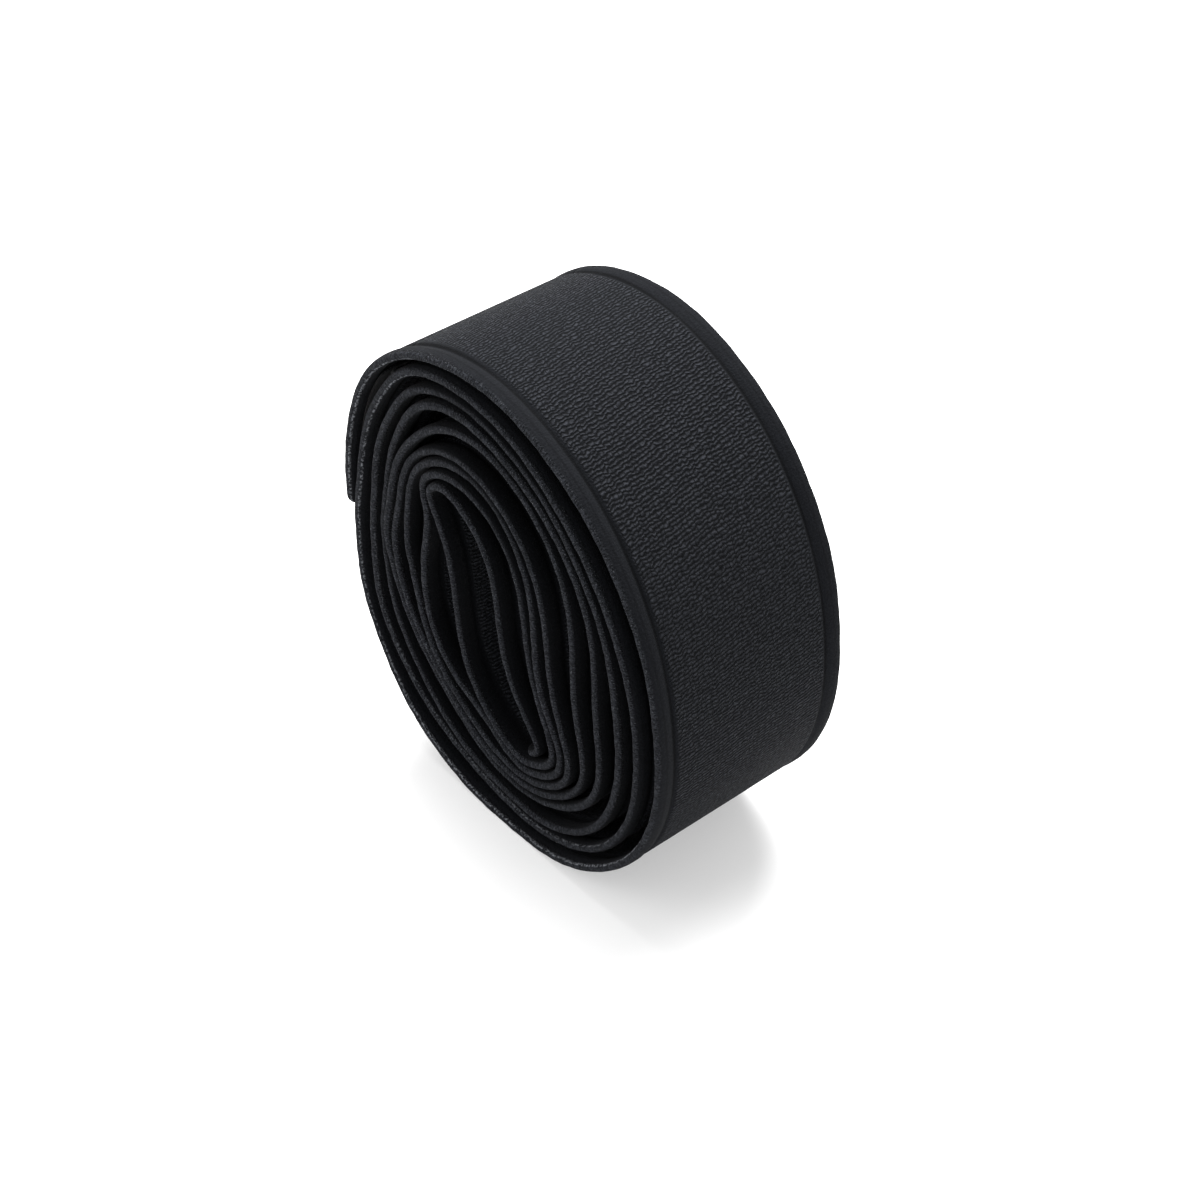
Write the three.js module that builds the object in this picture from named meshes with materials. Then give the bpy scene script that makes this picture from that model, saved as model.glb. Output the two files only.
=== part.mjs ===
// Hand wrap: one long elastic strap rolled on itself, standing on its rim.
// Millimetres. X runs across the roll, Y along its axis, Z up; the roll rests on Z = 0.
// Directions round the roll are degrees, anticlockwise from +X as seen from the -Y end.
// A turning angle adds 360 for each turn already wound, so it names one place on the strap.
import * as THREE from 'three';

// The strap and the way it is wound
const STRAP = { width: 50, thickness: 2, layGap: 0.3, joinGapDegrees: 0.6 };
const WIND = { start: -70, tip: 179, turns: 8, step: 6, slantPasses: 6 };
const TAIL_END = WIND.tip + 360 * WIND.turns;

// The empty core: a leaning slot swayed into a soft S
const CORE = { x: -4.5, z: -2.4, halfWidth: 7, halfLength: 29.8, lean: 29, squareness: 0.6 };
const SWAY = { size: 4.4, rate: 0.95 * Math.PI, shift: -0.25 };

// The outer rim: a circle with a few soft swells and a flat where it rests
const RIM = {
  radius: 54.1,
  restLevel: -55.1,
  swells: [
    { lobes: 2, size: 3.9, at: 99 },
    { lobes: 3, size: 1.1, at: -19 },
    { lobes: 4, size: 0.6, at: 38 },
  ],
};
const REST_PRESS = 0.35;

// The outermost turn stands off the ones below it, and rises to that where the tail covers it
const STAND_OFF = { size: 1.3, from: 80, to: 178 };

// Where the closure's layers lie on each other they swell outwards together
const BULGE = { size: 1.6, at: 150, spread: 75 };
const FLOOR = RIM.restLevel - STAND_OFF.size + REST_PRESS;

// Where the turns lie slack: the gap outside a turn, its direction, how far it opens and spreads
const EVEN_SLACK = 0.12;
const SLACK_SPOTS = [
  { turn: 0, at: 28, opens: 6.9, spread: 95 },
  { turn: 0, at: 206, opens: 8.6, spread: 54 },
  { turn: 1, at: 60, opens: 1.8, spread: 70 },
  { turn: 1, at: 170, opens: 3.8, spread: 38 },
  { turn: 1, at: 252, opens: 2.6, spread: 36 },
  { turn: 2, at: 20, opens: 1.6, spread: 65 },
  { turn: 2, at: 196, opens: 2.6, spread: 36 },
  { turn: 3, at: 44, opens: 7.4, spread: 100 },
  { turn: 4, at: 16, opens: 4.6, spread: 75 },
  { turn: 4, at: 112, opens: 2.2, spread: 40 },
  { turn: 4, at: 230, opens: 4.7, spread: 52 },
  { turn: 5, at: -58, opens: 2.4, spread: 50 },
  { turn: 5, at: 4, opens: 4.6, spread: 46 },
  { turn: 5, at: 140, opens: 1.4, spread: 45 },
  { turn: 5, at: 218, opens: 3.2, spread: 45 },
  { turn: 6, at: 10, opens: 2.4, spread: 130 },
  { turn: 6, at: 235, opens: 4.4, spread: 80 },
  { turn: 7, at: 28, opens: 3.6, spread: 100 },
];

// The wedges of slack just before the core end and just past the tail end
const CORE_END_WEDGE = 50;
const TAIL_END_WEDGE = 28;

// The closure: the tail from its fold line to its tip, with hook facing soft loop under it
const CLOSURE = { foldLine: 120, patchFrom: 130, patchTo: 169, patchWidth: 44, patchThickness: 0.8 };
const SEWN_GAP = 0.2;
const PATCH_ROOM = 2 * CLOSURE.patchThickness + 2 * SEWN_GAP;
const PATCH_ROOM_EASE = 8;

// Sewing thread, laid as flat lines
const THREAD = { width: 0.9, height: 0.3, clear: 0.1, hemLength: 45 };
const PATCH_SEAM_MARGIN = 1.4;
const TAIL_HEM = 175;
const CORE_HEM = -58;

// The thumb loop: a narrow tape ring lying along the core's wall, sewn on over its lower end
const THUMB = {
  width: 14, thickness: 1.1, depth: 4.6, clear: 0.25, from: -36, to: 26,
  degreesPerMm: 2, squareness: 0.55, step: 10,
};
const THUMB_SEAM = { from: -30, to: -14, width: 10 };

const COLOURS = { strap: 0x26272a, tape: 0x232428, hook: 0x1c1c1e, loop: 0x202124, thread: 0x18191b };

const radians = THREE.MathUtils.degToRad;
const degreesAlong = (length) => THREE.MathUtils.radToDeg(length / RIM.radius);
const HALF_THICKNESS = STRAP.thickness / 2;
const PER_TURN = 360 / WIND.step;

/** Soft hill: 1 at the middle, 0 from one spread away. */
function hill(distance, spread) {
  const along = Math.min(Math.abs(distance) / spread, 1);
  return 0.5 + 0.5 * Math.cos(Math.PI * along);
}

/** Signed power of a cosine or sine: under 1 it squares a round outline off. */
function squared(value, power) {
  return Math.sign(value) * Math.abs(value) ** power;
}

/** Point of the core's slot. */
function corePoint(direction) {
  const turn = radians(direction - CORE.lean);
  const across = CORE.halfWidth * squared(Math.cos(turn), CORE.squareness);
  const up = CORE.halfLength * Math.sin(turn);
  const sway = SWAY.size * Math.sin(SWAY.rate * Math.sin(turn) + SWAY.shift);
  const leaned = new THREE.Vector2(across + sway, up).rotateAround(new THREE.Vector2(), radians(CORE.lean));
  return leaned.add(new THREE.Vector2(CORE.x, CORE.z));
}

/** Point of the outer rim, cut level where the roll rests. */
function rimPoint(direction) {
  let radius = RIM.radius;
  for (const swell of RIM.swells) {
    radius += swell.size * Math.cos(swell.lobes * radians(direction - swell.at));
  }
  const point = new THREE.Vector2(radius, 0).rotateAround(new THREE.Vector2(), radians(direction));
  point.y = Math.max(point.y, RIM.restLevel);
  return point;
}

/** How much strap lies at a turning angle: 1 on the strap, easing to 0 past either end. */
function presence(turning) {
  const begun = THREE.MathUtils.smoothstep(turning, WIND.start - CORE_END_WEDGE, WIND.start);
  const ended = THREE.MathUtils.smoothstep(turning, TAIL_END, TAIL_END + TAIL_END_WEDGE);
  return begun * (1 - ended);
}

/** Least gap outside the strap: the lay gap, and the room that the closure's patches take. */
function leastGap(turning) {
  const direction = turning - 360 * (WIND.turns - 1);
  const { patchFrom, patchTo } = CLOSURE;
  const opened = THREE.MathUtils.smoothstep(direction, patchFrom - PATCH_ROOM_EASE, patchFrom);
  const closed = THREE.MathUtils.smoothstep(direction, patchTo, patchTo + PATCH_ROOM_EASE);
  return STRAP.layGap + PATCH_ROOM * opened * (1 - closed);
}

/** Share of the spare room that the gap outside the strap takes. */
function slackWeight(turning) {
  let weight = EVEN_SLACK;
  for (const spot of SLACK_SPOTS) {
    weight += spot.opens * hill(turning - spot.at - 360 * spot.turn, spot.spread);
  }
  return weight;
}

/** How far the strap stands off its place on the rail: only the outermost turn and the tail do. */
function standOff(turning) {
  const direction = turning - 360 * (WIND.turns - 1);
  const risen = STAND_OFF.size * THREE.MathUtils.smoothstep(direction, STAND_OFF.from, STAND_OFF.to);
  const bulges = [0, 360].map((lap) => hill(direction - lap - BULGE.at, BULGE.spread));
  return risen + BULGE.size * (bulges[0] + bulges[1]);
}

/** Lays each turn's station along the straight rail from the core to the rim. */
function placeOnRails(stations) {
  for (let i = 0; i < PER_TURN; i++) {
    const rail = stations.filter((station, index) => index % PER_TURN === i);
    const inner = corePoint(rail[0].turning);
    const reach = rimPoint(rail[0].turning).sub(inner);
    const length = reach.length();
    const layers = rail.map(({ turning, slant }) => {
      const here = presence(turning) * slant;
      const between = here * presence(turning + 360);
      return {
        solid: here * STRAP.thickness,
        gap: between * leastGap(turning),
        slack: between * slackWeight(turning),
      };
    });
    const total = (key) => layers.reduce((sum, layer) => sum + layer[key], 0);
    const share = (length - total('solid') - total('gap')) / total('slack');
    let reached = 0;
    rail.forEach((station, k) => {
      const middle = reached + HALF_THICKNESS * station.slant;
      station.rail = reach.clone().divideScalar(length);
      station.point = inner.clone().addScaledVector(station.rail, middle);
      reached += layers[k].solid + layers[k].gap + share * layers[k].slack;
    });
  }
}

/** Outward normal of the strap at each station, from its neighbours. */
function setNormals(stations) {
  stations.forEach((station, i) => {
    const before = stations[Math.max(i - 1, 0)].point;
    const after = stations[Math.min(i + 1, stations.length - 1)].point;
    const along = after.clone().sub(before).normalize();
    station.normal = new THREE.Vector2(along.y, -along.x);
  });
}

/** Stations down the middle of the strap's thickness, from the core end to the tail end. */
function windStrap() {
  const stations = [];
  for (let turning = WIND.start - 360; turning < WIND.start + 360 * (WIND.turns + 2); turning += WIND.step) {
    stations.push({ turning, slant: 1 });
  }
  for (let pass = 0; pass < WIND.slantPasses; pass++) {
    placeOnRails(stations);
    setNormals(stations);
    for (const station of stations) {
      const square = Math.max(Math.abs(station.normal.dot(station.rail)), 0.6);
      station.slant = (station.slant + 1 / square) / 2;
    }
  }
  placeOnRails(stations);
  const laid = stations.map((station) => station.point.clone());
  stations.forEach((station, i) => {
    const before = laid[Math.max(i - 1, 0)];
    const after = laid[Math.min(i + 1, laid.length - 1)];
    station.point.multiplyScalar(2).add(before).add(after).divideScalar(4);
  });
  setNormals(stations);
  for (const station of stations) {
    station.point.addScaledVector(station.normal, standOff(station.turning));
  }
  setNormals(stations);
  return stations;
}

const stations = windStrap();
const rimExtent = new THREE.Box2().setFromPoints(
  stations.filter(({ turning }) => turning >= WIND.start && turning <= TAIL_END).map(({ point }) => point),
);
const CENTRE_X = (rimExtent.min.x + rimExtent.max.x) / 2;

/** Point at a turning angle, offset outwards from the middle of the strap, as [x, z]. */
function strapPoint(turning, offset) {
  const index = (turning - stations[0].turning) / WIND.step;
  const first = Math.floor(index);
  const share = index - first;
  const [a, b] = [stations[first], stations[first + 1]];
  const point = a.point.clone().lerp(b.point, share);
  const normal = a.normal.clone().lerp(b.normal, share).normalize();
  point.addScaledVector(normal, offset);
  return [point.x - CENTRE_X, Math.max(point.y - FLOOR, 0)];
}

/** Turning angles from one to another, with every station between them. */
function turningsBetween(from, to) {
  const all = stations.map(({ turning }) => turning);
  return [from, ...all.filter((turning) => turning > from + 0.5 && turning < to - 0.5), to];
}

/** Extrudes an outline in X and Z to a width along Y, centred on the roll's middle. */
function acrossRoll(shape, width) {
  const geometry = new THREE.ExtrudeGeometry(shape, { depth: width, bevelEnabled: false });
  return geometry.rotateX(Math.PI / 2).translate(0, width / 2, 0);
}

/** Band that follows the wind between two turning angles and two offsets. */
function band(from, to, low, high, width) {
  const turnings = turningsBetween(from, to);
  const outer = turnings.map((turning) => strapPoint(turning, high));
  const inner = turnings.map((turning) => strapPoint(turning, low)).reverse();
  const outline = [...outer, ...inner].map(([x, z]) => new THREE.Vector2(x, z));
  return acrossRoll(new THREE.Shape(outline), width);
}

/** Corner walk round a patch on the wound strap, as [turning angle, y], inset by a margin. */
function patchWalk(from, to, width, inset) {
  const degrees = degreesAlong(inset);
  const turnings = turningsBetween(from, to);
  turnings[0] += degrees;
  turnings[turnings.length - 1] -= degrees;
  const side = width / 2 - inset;
  const near = turnings.map((turning) => [turning, -side]);
  const far = turnings.map((turning) => [turning, side]).reverse();
  return [...near, ...far];
}

/** Flat ring of thread round a patch: four loops of corners joined into one closed body. */
function seamRing(from, to, width, low, high) {
  const loops = [[0, low], [0, high], [THREAD.width, high], [THREAD.width, low]].map(([inset, offset]) =>
    patchWalk(from, to, width, inset).map(([turning, y]) => {
      const [x, z] = strapPoint(turning, offset);
      return [x, y, z];
    }));
  const count = loops[0].length;
  const faces = [];
  for (let k = 0; k < loops.length; k++) {
    for (let i = 0; i < count; i++) {
      const next = (i + 1) % count;
      const above = (k + 1) % loops.length;
      const [a, b, c, d] = [k * count + i, k * count + next, above * count + next, above * count + i];
      faces.push(a, c, b, a, d, c);
    }
  }
  const geometry = new THREE.BufferGeometry();
  geometry.setAttribute('position', new THREE.Float32BufferAttribute(loops.flat(2), 3));
  geometry.setIndex(faces);
  return geometry;
}

/** Outline of the thumb loop's tape, inset by a depth: a squared ring along the core's wall. */
function thumbOutline(inset) {
  const { from, to, depth, clear } = THUMB;
  const halfLength = (to - from) / 2 - inset * THUMB.degreesPerMm;
  const halfDepth = depth / 2 - inset;
  const points = [];
  for (let angle = 0; angle < 360; angle += THUMB.step) {
    const turning = (from + to) / 2 + halfLength * squared(Math.cos(radians(angle)), THUMB.squareness);
    const rise = halfDepth * squared(Math.sin(radians(angle)), THUMB.squareness);
    const below = HALF_THICKNESS + clear + depth / 2 + rise;
    points.push(new THREE.Vector2(...strapPoint(turning, -below)));
  }
  return points;
}

/** The thumb loop: a closed ring of tape. */
function thumbLoop() {
  const shape = new THREE.Shape(thumbOutline(0));
  shape.holes.push(new THREE.Path(thumbOutline(THUMB.thickness)));
  return acrossRoll(shape, THUMB.width);
}

/** Named piece with its own material. */
function piece(name, geometry, color, roughness = 0.9) {
  const mesh = new THREE.Mesh(geometry, new THREE.MeshStandardMaterial({ color, roughness, metalness: 0 }));
  mesh.name = name;
  return mesh;
}

const lastTurn = 360 * WIND.turns;
const turnBelow = lastTurn - 360;
const foldLine = CLOSURE.foldLine + lastTurn;
const sewnFace = HALF_THICKNESS + SEWN_GAP;
const patchFace = sewnFace + CLOSURE.patchThickness;
const threadLow = HALF_THICKNESS + THREAD.clear;
const threadHigh = threadLow + THREAD.height;

/** Patch sewn to one face of the strap at a turn: outside the turn below, inside the tail. */
function patch(turn, low, high) {
  return band(CLOSURE.patchFrom + turn, CLOSURE.patchTo + turn, low, high, CLOSURE.patchWidth);
}

/** Seam round the edge of a patch, a margin outside it. */
function patchSeam(turn, low, high) {
  const margin = degreesAlong(PATCH_SEAM_MARGIN);
  const width = CLOSURE.patchWidth + 2 * PATCH_SEAM_MARGIN;
  return seamRing(CLOSURE.patchFrom + turn - margin, CLOSURE.patchTo + turn + margin, width, low, high);
}

/** Seam that holds the thumb loop: the same ring of thread on the strap's outer face. */
function thumbSeam() {
  const { from, to, width } = THUMB_SEAM;
  return seamRing(from, to, width, threadLow, threadHigh);
}

/** One straight row of stitches across the strap. */
function threadRow(turning, low, high) {
  const half = degreesAlong(THREAD.width / 2);
  return band(turning - half, turning + half, low, high, THREAD.hemLength);
}

/** A run of the strap itself, just short of the run that follows it. */
function strapRun(from, to) {
  return band(from, to - STRAP.joinGapDegrees, -HALF_THICKNESS, HALF_THICKNESS, STRAP.width);
}

/** The strap from its core end to the fold line: a piece for each turn, meeting end to end. */
function strapTurns() {
  const turns = [];
  for (let from = WIND.start; from < foldLine; from += 360) {
    const to = Math.min(from + 360, foldLine);
    turns.push(piece(`strap_turn_${turns.length + 1}`, strapRun(from, to), COLOURS.strap));
  }
  return turns;
}

const wrap = new THREE.Group();
wrap.add(
  ...strapTurns(),
  piece('closure_tab', strapRun(foldLine, TAIL_END), COLOURS.strap),
  piece('loop_patch', patch(turnBelow, sewnFace, patchFace), COLOURS.loop),
  piece('hook_patch', patch(lastTurn, -patchFace, -sewnFace), COLOURS.hook, 0.5),
  piece('loop_patch_seam', patchSeam(turnBelow, threadLow, threadHigh), COLOURS.thread),
  piece('hook_patch_seam', patchSeam(lastTurn, threadLow, threadHigh), COLOURS.thread),
  piece('tail_hem_seam', threadRow(TAIL_HEM + lastTurn, threadLow, threadHigh), COLOURS.thread),
  piece('core_hem_seam', threadRow(CORE_HEM, -threadHigh, -threadLow), COLOURS.thread),
  piece('thumb_loop', thumbLoop(), COLOURS.tape),
  piece('thumb_loop_seam', thumbSeam(), COLOURS.thread),
);

export default wrap;
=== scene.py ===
"""Hand wrap: an elastic strap wound into a roll, with its sewn closure and its thumb loop.

Shapes are worked out in millimetres. The winding gives the roll's section in x and z, and the
strap's own coordinates (along its length, across its width, proud of its middle) are carried
onto it. Meshes are stored in metres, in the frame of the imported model.
"""
import logging
import math
from dataclasses import dataclass, field
from enum import Enum
from typing import ClassVar

import bpy
import numpy as np
from mathutils import Matrix, Vector


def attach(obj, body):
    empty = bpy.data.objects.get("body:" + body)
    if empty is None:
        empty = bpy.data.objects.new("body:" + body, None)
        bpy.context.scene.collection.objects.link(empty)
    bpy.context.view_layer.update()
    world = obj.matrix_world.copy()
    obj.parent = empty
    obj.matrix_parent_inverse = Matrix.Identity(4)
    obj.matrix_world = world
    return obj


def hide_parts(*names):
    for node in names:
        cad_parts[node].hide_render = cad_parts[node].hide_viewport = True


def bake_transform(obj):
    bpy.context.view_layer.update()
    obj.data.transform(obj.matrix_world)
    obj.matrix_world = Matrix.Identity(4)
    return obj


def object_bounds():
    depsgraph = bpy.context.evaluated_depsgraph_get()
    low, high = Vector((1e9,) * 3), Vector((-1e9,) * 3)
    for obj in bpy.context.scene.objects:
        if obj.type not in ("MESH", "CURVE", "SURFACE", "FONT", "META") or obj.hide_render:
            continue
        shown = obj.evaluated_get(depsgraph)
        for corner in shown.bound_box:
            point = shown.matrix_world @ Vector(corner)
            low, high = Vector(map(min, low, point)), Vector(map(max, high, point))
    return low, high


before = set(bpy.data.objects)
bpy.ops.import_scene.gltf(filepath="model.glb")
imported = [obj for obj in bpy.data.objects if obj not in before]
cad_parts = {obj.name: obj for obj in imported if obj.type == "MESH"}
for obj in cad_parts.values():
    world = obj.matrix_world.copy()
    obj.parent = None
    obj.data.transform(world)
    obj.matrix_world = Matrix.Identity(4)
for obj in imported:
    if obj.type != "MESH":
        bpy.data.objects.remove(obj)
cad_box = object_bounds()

Array = np.ndarray
MM = 0.001
log = logging.getLogger("hand_wrap")


class Body(Enum):
    """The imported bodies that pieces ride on."""

    ROLL = "root"
    TAIL = "closure_tab"
    THUMB = "thumb_loop"


class Face(Enum):
    """The two faces of the strap, by the sign of their height above its middle."""

    OUTER = 1.0
    INNER = -1.0


def ease(value: Array, low: float, high: float) -> Array:
    """Smooth step: 0 up to low, 1 from high, and 3t^2 - 2t^3 between them."""
    share = np.clip((value - low) / (high - low), 0.0, 1.0)
    return share * share * (3.0 - 2.0 * share)


def squared(value: Array, power: float) -> Array:
    """Signed power of a cosine or sine: under 1 it squares a round outline off."""
    return np.sign(value) * np.abs(value) ** power


def drift(along: Array, size: float, longest: float, waves: int, seed: float) -> Array:
    """Slow wandering: a sum of sines, each shorter and smaller than the last.

    Args:
        along: Places along the strap, in millimetres.
        size: Height of the longest wave.
        longest: Length of the longest wave.
        waves: How many sines are added.
        seed: Phase that makes one wander differ from another.

    Returns:
        The wander at each place.
    """
    total = np.zeros_like(along)
    for k in range(waves):
        length = longest / 1.83**k
        total += size / 1.6**k * np.sin(2 * np.pi * along / length + seed * (k + 1.7))
    return total


@dataclass(frozen=True)
class Swell:
    """One soft swell of the outer rim: so many lobes, their size, and where one of them points."""

    lobes: int
    size: float
    at: float


@dataclass(frozen=True)
class Slack:
    """A place where the gap outside a turn opens: its turn, direction, size and spread."""

    turn: int
    at: float
    opens: float
    spread: float

    def at_turning(self, turning: Array) -> Array:
        """Raised cosine about the place, as high as the size."""
        away = np.minimum(np.abs(turning - self.at - 360.0 * self.turn) / self.spread, 1.0)
        return self.opens * (0.5 + 0.5 * np.cos(np.pi * away))


@dataclass
class Winding:
    """The roll's section: turns of strap laid on straight rails between the core and the rim.

    For each direction a rail runs from the core's slot to the rim. The turns that cross it take
    their thickness and least gaps from it, and share what is left by their slack. The middle
    line is then a cubic B-spline through those stations, measured by its length.
    """

    width: float = 50.0
    thickness: float = 2.0
    lay_gap: float = 0.3
    start: float = -70.0
    tip: float = 179.0
    turns: int = 8
    step: float = 6.0
    slant_passes: int = 6
    core_at: tuple[float, float] = (-4.5, -2.4)
    core_half: tuple[float, float] = (7.0, 29.8)
    core_lean: float = 29.0
    core_squareness: float = 0.6
    sway: tuple[float, float, float] = (4.4, 0.95 * math.pi, -0.25)
    rim_radius: float = 54.1
    rest_level: float = -55.1
    rest_press: float = 0.35
    stand_off: float = 1.3
    rises: tuple[float, float] = (80.0, 178.0)
    bulge: Slack = Slack(7, 150, 1.6, 75)
    swells: tuple[Swell, ...] = (Swell(2, 3.9, 99), Swell(3, 1.1, -19), Swell(4, 0.6, 38))
    even_slack: float = 0.12
    slacks: tuple[Slack, ...] = (
        Slack(0, 28, 6.9, 95), Slack(0, 206, 8.6, 54), Slack(1, 60, 1.8, 70), Slack(1, 170, 3.8, 38),
        Slack(1, 252, 2.6, 36), Slack(2, 20, 1.6, 65), Slack(2, 196, 2.6, 36), Slack(3, 44, 7.4, 100),
        Slack(4, 16, 4.6, 75), Slack(4, 112, 2.2, 40), Slack(4, 230, 4.7, 52), Slack(5, -58, 2.4, 50),
        Slack(5, 4, 4.6, 46), Slack(5, 140, 1.4, 45), Slack(5, 218, 3.2, 45), Slack(6, 10, 2.4, 130),
        Slack(6, 235, 4.4, 80), Slack(7, 28, 3.6, 100),
    )
    core_wedge: float = 50.0
    tail_wedge: float = 28.0
    patch_from: float = 130.0
    patch_to: float = 169.0
    patch_room: float = 2.0
    patch_room_ease: float = 8.0
    fold_line: float = 120.0
    sample: float = 0.25
    turning: Array = field(init=False)
    middle: Array = field(init=False)
    normal: Array = field(init=False)
    length: Array = field(init=False)
    floor: float = field(init=False)

    def __post_init__(self) -> None:
        """Lays the stations, fairs them and measures the strap from its core end."""
        stations, laid = self._lay_stations()
        self.turning, self.middle, self.normal = self._fair(stations, laid)
        steps = np.linalg.norm(np.diff(self.middle, axis=0), axis=1)
        self.length = np.concatenate([[0.0], np.cumsum(steps)])
        self.length -= np.interp(self.start, self.turning, self.length)
        self._settle()

    @property
    def end(self) -> float:
        """Turning angle of the tail's tip."""
        return self.tip + 360.0 * self.turns

    @property
    def bend_at(self) -> float:
        """Turning angle of the closure's fold line."""
        return self.fold_line + 360.0 * self.turns

    def _core(self, direction: Array) -> Array:
        """Core points: a squared ellipse, swayed sideways by a sine of its height, then leaned.

        Args:
            direction: Directions about the roll's middle, in degrees.

        Returns:
            The core's point in each direction.
        """
        turn = np.radians(direction - self.core_lean)
        size, rate, shift = self.sway
        x = self.core_half[0] * squared(np.cos(turn), self.core_squareness)
        x = x + size * np.sin(rate * np.sin(turn) + shift)
        y = self.core_half[1] * np.sin(turn)
        lean = math.radians(self.core_lean)
        leaned = [x * math.cos(lean) - y * math.sin(lean), x * math.sin(lean) + y * math.cos(lean)]
        return np.stack(leaned, axis=-1) + np.array(self.core_at)

    def _rim(self, direction: Array) -> Array:
        """Rim points: a circle with cosine swells, cut level where the roll rests.

        Args:
            direction: Directions about the roll's middle, in degrees.

        Returns:
            The rim's point in each direction.
        """
        radius = np.full_like(direction, self.rim_radius)
        for swell in self.swells:
            radius += swell.size * np.cos(swell.lobes * np.radians(direction - swell.at))
        turn = np.radians(direction)
        return np.stack([radius * np.cos(turn), np.maximum(radius * np.sin(turn), self.rest_level)], -1)

    def _presence(self, turning: Array) -> Array:
        """How much strap lies at a turning angle: 1 on the strap, easing to 0 past either end."""
        begun = ease(turning, self.start - self.core_wedge, self.start)
        return begun * (1.0 - ease(turning, self.end, self.end + self.tail_wedge))

    def _least_gap(self, turning: Array) -> Array:
        """Least gap outside the strap: the lay gap and the room that the closure's patches take.

        Args:
            turning: Turning angles, in degrees.

        Returns:
            The least gap at each of them.
        """
        direction = turning - 360.0 * (self.turns - 1)
        opened = ease(direction, self.patch_from - self.patch_room_ease, self.patch_from)
        closed = ease(direction, self.patch_to, self.patch_to + self.patch_room_ease)
        return self.lay_gap + self.patch_room * opened * (1.0 - closed)

    def _slack(self, turning: Array) -> Array:
        """Share of the spare room that each gap takes: an even part and a raised cosine a spot.

        Args:
            turning: Turning angles, in degrees.

        Returns:
            The share at each of them, not yet scaled to the room.
        """
        weight = np.full_like(turning, self.even_slack)
        for spot in self.slacks:
            weight += spot.at_turning(turning)
        return weight

    def _lay_stations(self) -> tuple[Array, Array]:
        """Lays every turn's stations along the rails, and softens them once.

        Returns:
            The stations' turning angles, and their points in the roll's section.
        """
        rays = round(360 / self.step)
        turning = (self.start - 360.0 + self.step * np.arange(rays * (self.turns + 3))).reshape(-1, rays)
        inner = self._core(turning[0])
        reach = self._rim(turning[0]) - inner
        rail_length = np.linalg.norm(reach, axis=1)
        rail = reach / rail_length[:, None]
        slant = np.ones_like(turning)
        for _ in range(self.slant_passes + 1):
            here = self._presence(turning) * slant
            between = here * self._presence(turning + 360.0)
            solid = here * self.thickness
            gap = between * self._least_gap(turning)
            slack = between * self._slack(turning)
            share = (rail_length - solid.sum(0) - gap.sum(0)) / slack.sum(0)
            layer = solid + gap + share * slack
            reached = np.cumsum(layer, axis=0) - layer + self.thickness / 2 * slant
            points = (inner[None] + rail[None] * reached[..., None]).reshape(-1, 2)
            padded = np.concatenate([points[:1], points, points[-1:]])
            tangent = padded[2:] - padded[:-2]
            tangent /= np.linalg.norm(tangent, axis=1)[:, None]
            normal = np.stack([tangent[:, 1], -tangent[:, 0]], axis=-1)
            facing = np.abs((normal.reshape(*turning.shape, 2) * rail[None]).sum(-1))
            slant = (slant + 1.0 / np.maximum(facing, 0.6)) / 2
        return turning.ravel(), (2.0 * points + padded[:-2] + padded[2:]) / 4.0

    def _fair(self, stations: Array, laid: Array) -> tuple[Array, Array, Array]:
        """Uniform cubic B-spline on the stations, with its outward normals.

        Args:
            stations: Turning angles of the stations.
            laid: Their points.

        Returns:
            Fine turning angles, the middle line's points and its outward unit normals.
        """
        fine = np.arange(stations[1], stations[-3], self.sample)
        place = (fine - stations[0]) / self.step
        first = np.floor(place).astype(int)
        u = (place - first)[:, None]
        a, b, c, d = (laid[first + k] for k in (-1, 0, 1, 2))
        points = ((1 - u) ** 3 * a + (3 * u**3 - 6 * u**2 + 4) * b) / 6
        points += ((-3 * u**3 + 3 * u**2 + 3 * u + 1) * c + u**3 * d) / 6
        tangent = -((1 - u) ** 2) * a + (3 * u**2 - 4 * u) * b + (-3 * u**2 + 2 * u + 1) * c + u**2 * d
        tangent /= np.linalg.norm(tangent, axis=1)[:, None]
        normal = np.stack([tangent[:, 1], -tangent[:, 0]], axis=-1)
        risen = self.stand_off * ease(fine - 360.0 * (self.turns - 1), *self.rises)
        for lap in (0.0, 360.0):
            risen += self.bulge.at_turning(fine - lap)
        return fine, points + risen[:, None] * normal, normal

    def _settle(self) -> None:
        """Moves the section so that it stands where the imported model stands."""
        on_strap = (self.turning >= self.start) & (self.turning <= self.end)
        across = self.middle[on_strap, 0]
        low, high = cad_box
        self.middle[:, 0] += (low[0] + high[0]) / 2 / MM - (across.min() + across.max()) / 2
        self.middle[:, 1] += low[2] / MM - self.rest_level + self.stand_off - self.rest_press
        self.floor = low[2] / MM

    def along(self, turning: float) -> float:
        """Length of strap from the core end to a turning angle."""
        return float(np.interp(turning, self.turning, self.length))

    def place(self, along: Array, across: Array, proud: Array) -> Array:
        """Carries strap coordinates onto the roll: middle point + proud x normal, and y = across.

        Args:
            along: Length from the core end.
            across: Place across the width, 0 in the middle.
            proud: Height above the middle of the thickness, outwards.

        Returns:
            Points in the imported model's frame, in millimetres, along one more axis than the inputs.
        """
        along, across, proud = np.broadcast_arrays(along, across, proud)
        x, z, nx, nz = (np.interp(along, self.length, column)
                        for column in (*self.middle.T, *self.normal.T))
        scale = proud / np.hypot(nx, nz)
        return np.stack([x + nx * scale, across, np.maximum(z + nz * scale, self.floor)], axis=-1)

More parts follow.
